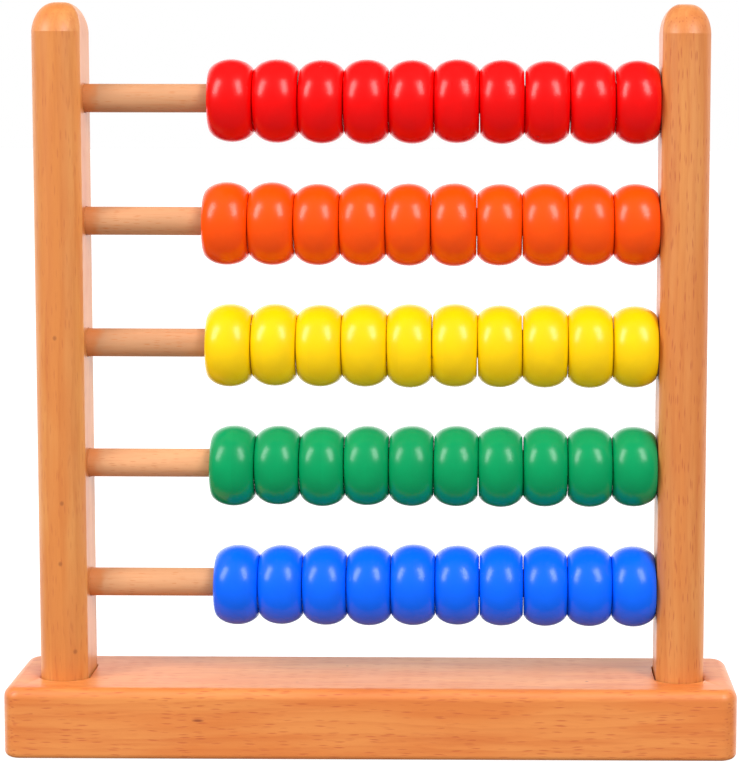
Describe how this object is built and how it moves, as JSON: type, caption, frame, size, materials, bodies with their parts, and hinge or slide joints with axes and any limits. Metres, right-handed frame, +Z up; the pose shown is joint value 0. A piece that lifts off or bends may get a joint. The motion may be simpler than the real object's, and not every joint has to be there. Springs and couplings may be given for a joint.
{
  "type": "abacus",
  "caption": "Upright beech counting frame: flat base, two round-topped posts, and painted wooden beads that slide along level dowels.",
  "frame": {"origin": "middle of the base's underside", "axes": "+X along the dowels towards the post that the beads rest against, +Z up, and the front faces -Y"},
  "size_m": [0.206, 0.04, 0.211],
  "materials": {
    "beech_block": "steamed beech, flat-sawn, clear satin varnish",
    "beech_posts": "steamed beech, grain upright, clear satin varnish",
    "dowel_beech": "pale beech, bare and sanded smooth",
    "red_paint": "turned wood under smooth gloss red paint",
    "orange_paint": "turned wood under smooth gloss orange paint",
    "yellow_paint": "turned wood under smooth gloss yellow paint",
    "green_paint": "turned wood under smooth gloss green paint",
    "blue_paint": "turned wood under smooth gloss blue paint"
  },
  "bodies": {
    "frame": {"base": "beech_block", "post_left": "beech_posts", "post_right": "beech_posts", "rod_red": "dowel_beech", "rod_orange": "dowel_beech", "rod_yellow": "dowel_beech", "rod_green": "dowel_beech", "rod_blue": "dowel_beech"},
    "bead_red_1": {"bead_red_1": "red_paint"},
    "bead_red_2": {"bead_red_2": "red_paint"},
    "bead_red_3": {"bead_red_3": "red_paint"},
    "bead_red_4": {"bead_red_4": "red_paint"},
    "bead_red_5": {"bead_red_5": "red_paint"},
    "bead_red_6": {"bead_red_6": "red_paint"},
    "bead_red_7": {"bead_red_7": "red_paint"},
    "bead_red_8": {"bead_red_8": "red_paint"},
    "bead_red_9": {"bead_red_9": "red_paint"},
    "bead_red_10": {"bead_red_10": "red_paint"},
    "bead_orange_1": {"bead_orange_1": "orange_paint"},
    "bead_orange_2": {"bead_orange_2": "orange_paint"},
    "bead_orange_3": {"bead_orange_3": "orange_paint"},
    "bead_orange_4": {"bead_orange_4": "orange_paint"},
    "bead_orange_5": {"bead_orange_5": "orange_paint"},
    "bead_orange_6": {"bead_orange_6": "orange_paint"},
    "bead_orange_7": {"bead_orange_7": "orange_paint"},
    "bead_orange_8": {"bead_orange_8": "orange_paint"},
    "bead_orange_9": {"bead_orange_9": "orange_paint"},
    "bead_orange_10": {"bead_orange_10": "orange_paint"},
    "bead_yellow_1": {"bead_yellow_1": "yellow_paint"},
    "bead_yellow_2": {"bead_yellow_2": "yellow_paint"},
    "bead_yellow_3": {"bead_yellow_3": "yellow_paint"},
    "bead_yellow_4": {"bead_yellow_4": "yellow_paint"},
    "bead_yellow_5": {"bead_yellow_5": "yellow_paint"},
    "bead_yellow_6": {"bead_yellow_6": "yellow_paint"},
    "bead_yellow_7": {"bead_yellow_7": "yellow_paint"},
    "bead_yellow_8": {"bead_yellow_8": "yellow_paint"},
    "bead_yellow_9": {"bead_yellow_9": "yellow_paint"},
    "bead_yellow_10": {"bead_yellow_10": "yellow_paint"},
    "bead_green_1": {"bead_green_1": "green_paint"},
    "bead_green_2": {"bead_green_2": "green_paint"},
    "bead_green_3": {"bead_green_3": "green_paint"},
    "bead_green_4": {"bead_green_4": "green_paint"},
    "bead_green_5": {"bead_green_5": "green_paint"},
    "bead_green_6": {"bead_green_6": "green_paint"},
    "bead_green_7": {"bead_green_7": "green_paint"},
    "bead_green_8": {"bead_green_8": "green_paint"},
    "bead_green_9": {"bead_green_9": "green_paint"},
    "bead_green_10": {"bead_green_10": "green_paint"},
    "bead_blue_1": {"bead_blue_1": "blue_paint"},
    "bead_blue_2": {"bead_blue_2": "blue_paint"},
    "bead_blue_3": {"bead_blue_3": "blue_paint"},
    "bead_blue_4": {"bead_blue_4": "blue_paint"},
    "bead_blue_5": {"bead_blue_5": "blue_paint"},
    "bead_blue_6": {"bead_blue_6": "blue_paint"},
    "bead_blue_7": {"bead_blue_7": "blue_paint"},
    "bead_blue_8": {"bead_blue_8": "blue_paint"},
    "bead_blue_9": {"bead_blue_9": "blue_paint"},
    "bead_blue_10": {"bead_blue_10": "blue_paint"}
  },
  "joints": [
    {"name": "red_row_slide", "type": "slide", "parent": "frame", "child": "bead_red_10", "axis": [1, 0, 0], "range_m": [-0.0348, 0]},
    {"name": "orange_row_slide", "type": "slide", "parent": "frame", "child": "bead_orange_10", "axis": [1, 0, 0], "range_m": [-0.0331, 0]},
    {"name": "yellow_row_slide", "type": "slide", "parent": "frame", "child": "bead_yellow_10", "axis": [1, 0, 0], "range_m": [-0.0338, 0]},
    {"name": "green_row_slide", "type": "slide", "parent": "frame", "child": "bead_green_10", "axis": [1, 0, 0], "range_m": [-0.0347, 0]},
    {"name": "blue_row_slide", "type": "slide", "parent": "frame", "child": "bead_blue_10", "axis": [1, 0, 0], "range_m": [-0.0356, 0]},
    {"name": "red_count_1_slide", "type": "slide", "parent": "bead_red_2", "child": "bead_red_1", "axis": [-1, 0, 0], "range_m": [0, 0.0188]},
    {"name": "orange_count_2_slide", "type": "slide", "parent": "bead_orange_3", "child": "bead_orange_2", "axis": [-1, 0, 0], "range_m": [0, 0.0171]},
    {"name": "yellow_count_3_slide", "type": "slide", "parent": "bead_yellow_4", "child": "bead_yellow_3", "axis": [-1, 0, 0], "range_m": [0, 0.0178]},
    {"name": "green_count_4_slide", "type": "slide", "parent": "bead_green_5", "child": "bead_green_4", "axis": [-1, 0, 0], "range_m": [0, 0.0187]},
    {"name": "blue_count_5_slide", "type": "slide", "parent": "bead_blue_6", "child": "bead_blue_5", "axis": [-1, 0, 0], "range_m": [0, 0.0196]},
    {"name": "red_bead_9_play", "type": "slide", "parent": "bead_red_10", "child": "bead_red_9", "axis": [-1, 0, 0], "range_m": [0, 0.002]},
    {"name": "red_bead_8_play", "type": "slide", "parent": "bead_red_9", "child": "bead_red_8", "axis": [-1, 0, 0], "range_m": [0, 0.002]},
    {"name": "red_bead_7_play", "type": "slide", "parent": "bead_red_8", "child": "bead_red_7", "axis": [-1, 0, 0], "range_m": [0, 0.002]},
    {"name": "red_bead_6_play", "type": "slide", "parent": "bead_red_7", "child": "bead_red_6", "axis": [-1, 0, 0], "range_m": [0, 0.002]},
    {"name": "red_bead_5_play", "type": "slide", "parent": "bead_red_6", "child": "bead_red_5", "axis": [-1, 0, 0], "range_m": [0, 0.002]},
    {"name": "red_bead_4_play", "type": "slide", "parent": "bead_red_5", "child": "bead_red_4", "axis": [-1, 0, 0], "range_m": [0, 0.002]},
    {"name": "red_bead_3_play", "type": "slide", "parent": "bead_red_4", "child": "bead_red_3", "axis": [-1, 0, 0], "range_m": [0, 0.002]},
    {"name": "red_bead_2_play", "type": "slide", "parent": "bead_red_3", "child": "bead_red_2", "axis": [-1, 0, 0], "range_m": [0, 0.002]},
    {"name": "orange_bead_9_play", "type": "slide", "parent": "bead_orange_10", "child": "bead_orange_9", "axis": [-1, 0, 0], "range_m": [0, 0.002]},
    {"name": "orange_bead_8_play", "type": "slide", "parent": "bead_orange_9", "child": "bead_orange_8", "axis": [-1, 0, 0], "range_m": [0, 0.002]},
    {"name": "orange_bead_7_play", "type": "slide", "parent": "bead_orange_8", "child": "bead_orange_7", "axis": [-1, 0, 0], "range_m": [0, 0.002]},
    {"name": "orange_bead_6_play", "type": "slide", "parent": "bead_orange_7", "child": "bead_orange_6", "axis": [-1, 0, 0], "range_m": [0, 0.002]},
    {"name": "orange_bead_5_play", "type": "slide", "parent": "bead_orange_6", "child": "bead_orange_5", "axis": [-1, 0, 0], "range_m": [0, 0.002]},
    {"name": "orange_bead_4_play", "type": "slide", "parent": "bead_orange_5", "child": "bead_orange_4", "axis": [-1, 0, 0], "range_m": [0, 0.002]},
    {"name": "orange_bead_3_play", "type": "slide", "parent": "bead_orange_4", "child": "bead_orange_3", "axis": [-1, 0, 0], "range_m": [0, 0.002]},
    {"name": "orange_bead_1_play", "type": "slide", "parent": "bead_orange_2", "child": "bead_orange_1", "axis": [-1, 0, 0], "range_m": [0, 0.002]},
    {"name": "yellow_bead_9_play", "type": "slide", "parent": "bead_yellow_10", "child": "bead_yellow_9", "axis": [-1, 0, 0], "range_m": [0, 0.002]},
    {"name": "yellow_bead_8_play", "type": "slide", "parent": "bead_yellow_9", "child": "bead_yellow_8", "axis": [-1, 0, 0], "range_m": [0, 0.002]},
    {"name": "yellow_bead_7_play", "type": "slide", "parent": "bead_yellow_8", "child": "bead_yellow_7", "axis": [-1, 0, 0], "range_m": [0, 0.002]},
    {"name": "yellow_bead_6_play", "type": "slide", "parent": "bead_yellow_7", "child": "bead_yellow_6", "axis": [-1, 0, 0], "range_m": [0, 0.002]},
    {"name": "yellow_bead_5_play", "type": "slide", "parent": "bead_yellow_6", "child": "bead_yellow_5", "axis": [-1, 0, 0], "range_m": [0, 0.002]},
    {"name": "yellow_bead_4_play", "type": "slide", "parent": "bead_yellow_5", "child": "bead_yellow_4", "axis": [-1, 0, 0], "range_m": [0, 0.002]},
    {"name": "yellow_bead_2_play", "type": "slide", "parent": "bead_yellow_3", "child": "bead_yellow_2", "axis": [-1, 0, 0], "range_m": [0, 0.002]},
    {"name": "yellow_bead_1_play", "type": "slide", "parent": "bead_yellow_2", "child": "bead_yellow_1", "axis": [-1, 0, 0], "range_m": [0, 0.002]},
    {"name": "green_bead_9_play", "type": "slide", "parent": "bead_green_10", "child": "bead_green_9", "axis": [-1, 0, 0], "range_m": [0, 0.002]},
    {"name": "green_bead_8_play", "type": "slide", "parent": "bead_green_9", "child": "bead_green_8", "axis": [-1, 0, 0], "range_m": [0, 0.002]},
    {"name": "green_bead_7_play", "type": "slide", "parent": "bead_green_8", "child": "bead_green_7", "axis": [-1, 0, 0], "range_m": [0, 0.002]},
    {"name": "green_bead_6_play", "type": "slide", "parent": "bead_green_7", "child": "bead_green_6", "axis": [-1, 0, 0], "range_m": [0, 0.002]},
    {"name": "green_bead_5_play", "type": "slide", "parent": "bead_green_6", "child": "bead_green_5", "axis": [-1, 0, 0], "range_m": [0, 0.002]},
    {"name": "green_bead_3_play", "type": "slide", "parent": "bead_green_4", "child": "bead_green_3", "axis": [-1, 0, 0], "range_m": [0, 0.002]},
    {"name": "green_bead_2_play", "type": "slide", "parent": "bead_green_3", "child": "bead_green_2", "axis": [-1, 0, 0], "range_m": [0, 0.002]},
    {"name": "green_bead_1_play", "type": "slide", "parent": "bead_green_2", "child": "bead_green_1", "axis": [-1, 0, 0], "range_m": [0, 0.002]},
    {"name": "blue_bead_9_play", "type": "slide", "parent": "bead_blue_10", "child": "bead_blue_9", "axis": [-1, 0, 0], "range_m": [0, 0.002]},
    {"name": "blue_bead_8_play", "type": "slide", "parent": "bead_blue_9", "child": "bead_blue_8", "axis": [-1, 0, 0], "range_m": [0, 0.002]},
    {"name": "blue_bead_7_play", "type": "slide", "parent": "bead_blue_8", "child": "bead_blue_7", "axis": [-1, 0, 0], "range_m": [0, 0.002]},
    {"name": "blue_bead_6_play", "type": "slide", "parent": "bead_blue_7", "child": "bead_blue_6", "axis": [-1, 0, 0], "range_m": [0, 0.002]},
    {"name": "blue_bead_4_play", "type": "slide", "parent": "bead_blue_5", "child": "bead_blue_4", "axis": [-1, 0, 0], "range_m": [0, 0.002]},
    {"name": "blue_bead_3_play", "type": "slide", "parent": "bead_blue_4", "child": "bead_blue_3", "axis": [-1, 0, 0], "range_m": [0, 0.002]},
    {"name": "blue_bead_2_play", "type": "slide", "parent": "bead_blue_3", "child": "bead_blue_2", "axis": [-1, 0, 0], "range_m": [0, 0.002]},
    {"name": "blue_bead_1_play", "type": "slide", "parent": "bead_blue_2", "child": "bead_blue_1", "axis": [-1, 0, 0], "range_m": [0, 0.002]}
  ]
}
